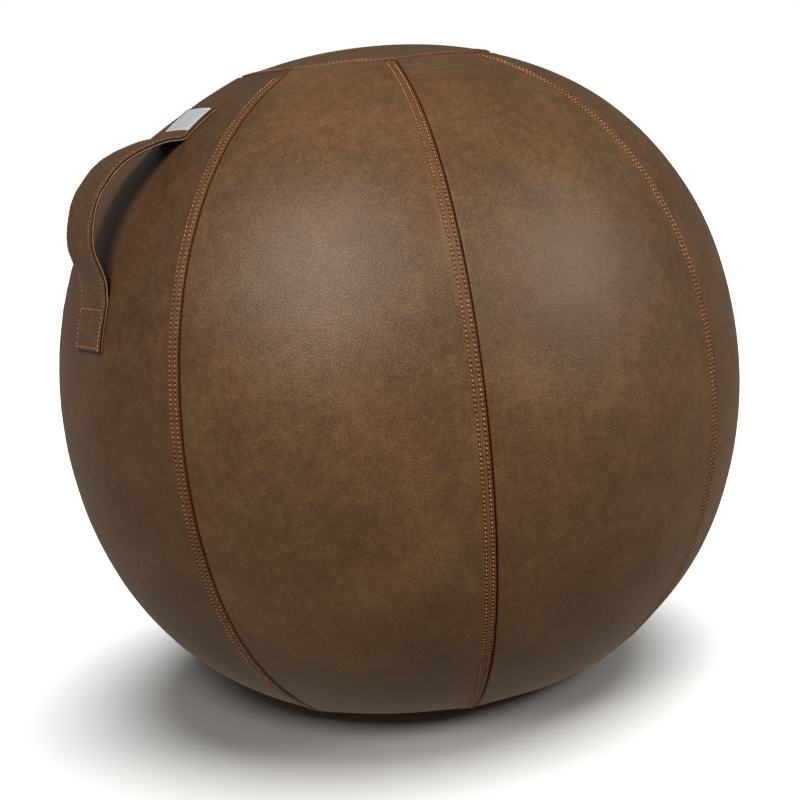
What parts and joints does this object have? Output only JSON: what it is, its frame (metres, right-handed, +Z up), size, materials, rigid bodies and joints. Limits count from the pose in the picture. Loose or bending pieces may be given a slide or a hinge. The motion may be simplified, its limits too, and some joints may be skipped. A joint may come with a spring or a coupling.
{
  "type": "sitting ball",
  "caption": "Inflatable sitting ball in a panelled leather-look cover with twin topstitched seams, a carry handle and an anti-roll ring under its flat base.",
  "frame": {"origin": "on the floor, on the ball's vertical axis", "axes": "+Z up along the ball's axis, -X towards the carry handle"},
  "size_m": [0.65, 0.65, 0.6027],
  "materials": {
    "cover_leather": "vintage pull-up grain, satin",
    "base_leather": "grained, matt",
    "thread": "waxed polyester, twisted",
    "bladder_vinyl": "matt vinyl",
    "valve_seat": "moulded",
    "valve_plug": "moulded",
    "ring_sleeve": "coated fabric, matt",
    "ring_filling": "foam cord",
    "zip_tape": "woven tape",
    "zip_teeth": "nylon coil",
    "zip_metal": "satin zinc",
    "handle_leather": "pull-up grain with dark painted edges",
    "handle_lining": "pull-up grain with dark painted edges",
    "backing_canvas": "canvas",
    "label_weave": "woven satin, plain"
  },
  "bodies": {
    "ball": {"top_panel": "cover_leather", "side_panel_1": "cover_leather", "side_panel_2": "cover_leather", "side_panel_3": "cover_leather", "side_panel_4": "cover_leather", "side_panel_5": "cover_leather", "side_panel_6": "cover_leather", "side_panel_7": "cover_leather", "side_panel_8": "cover_leather", "base_panel": "base_leather", "side_seam_thread": "thread", "top_seam_thread": "thread", "base_seam_thread": "thread", "bladder": "bladder_vinyl", "valve_seat": "valve_seat", "valve_plug": "valve_plug", "ring_sleeve": "ring_sleeve", "ring_core": "ring_filling", "ring_thread": "thread", "zip_tape_inner": "zip_tape", "zip_tape_outer": "zip_tape", "zip_teeth_inner": "zip_teeth", "zip_teeth_outer": "zip_teeth", "zip_stop_closed": "zip_metal", "zip_stop_open": "zip_metal", "handle_end_upper": "handle_leather", "handle_end_lower": "handle_leather", "handle_end_thread": "thread", "handle_patch_upper": "backing_canvas", "handle_patch_lower": "backing_canvas", "handle_label": "label_weave"},
    "handle": {"handle_strap": "handle_leather", "handle_lining": "handle_lining", "handle_loop_thread": "thread"},
    "zip_slider": {"zip_slider": "zip_metal"},
    "zip_pull": {"zip_pull": "zip_metal"}
  },
  "joints": [
    {"name": "handle_lean", "type": "hinge", "parent": "ball", "child": "handle", "pos_m": [-0.21773, 0, 0.53413], "axis": [-0.5811, 0, -0.8138], "range_deg": [-20, 20], "stiffness_Nm_per_rad": 0.15},
    {"name": "zip_run", "type": "hinge", "parent": "ball", "child": "zip_slider", "pos_m": [0, 0, 0], "axis": [0, 0, 1], "range_deg": [0, 153.8]},
    {"name": "zip_pull_swing", "type": "hinge", "parent": "zip_slider", "child": "zip_pull", "pos_m": [0.14258, -0.08885, 0.00953], "axis": [0.8487, -0.5289, 0], "range_deg": [-75, 75]}
  ]
}
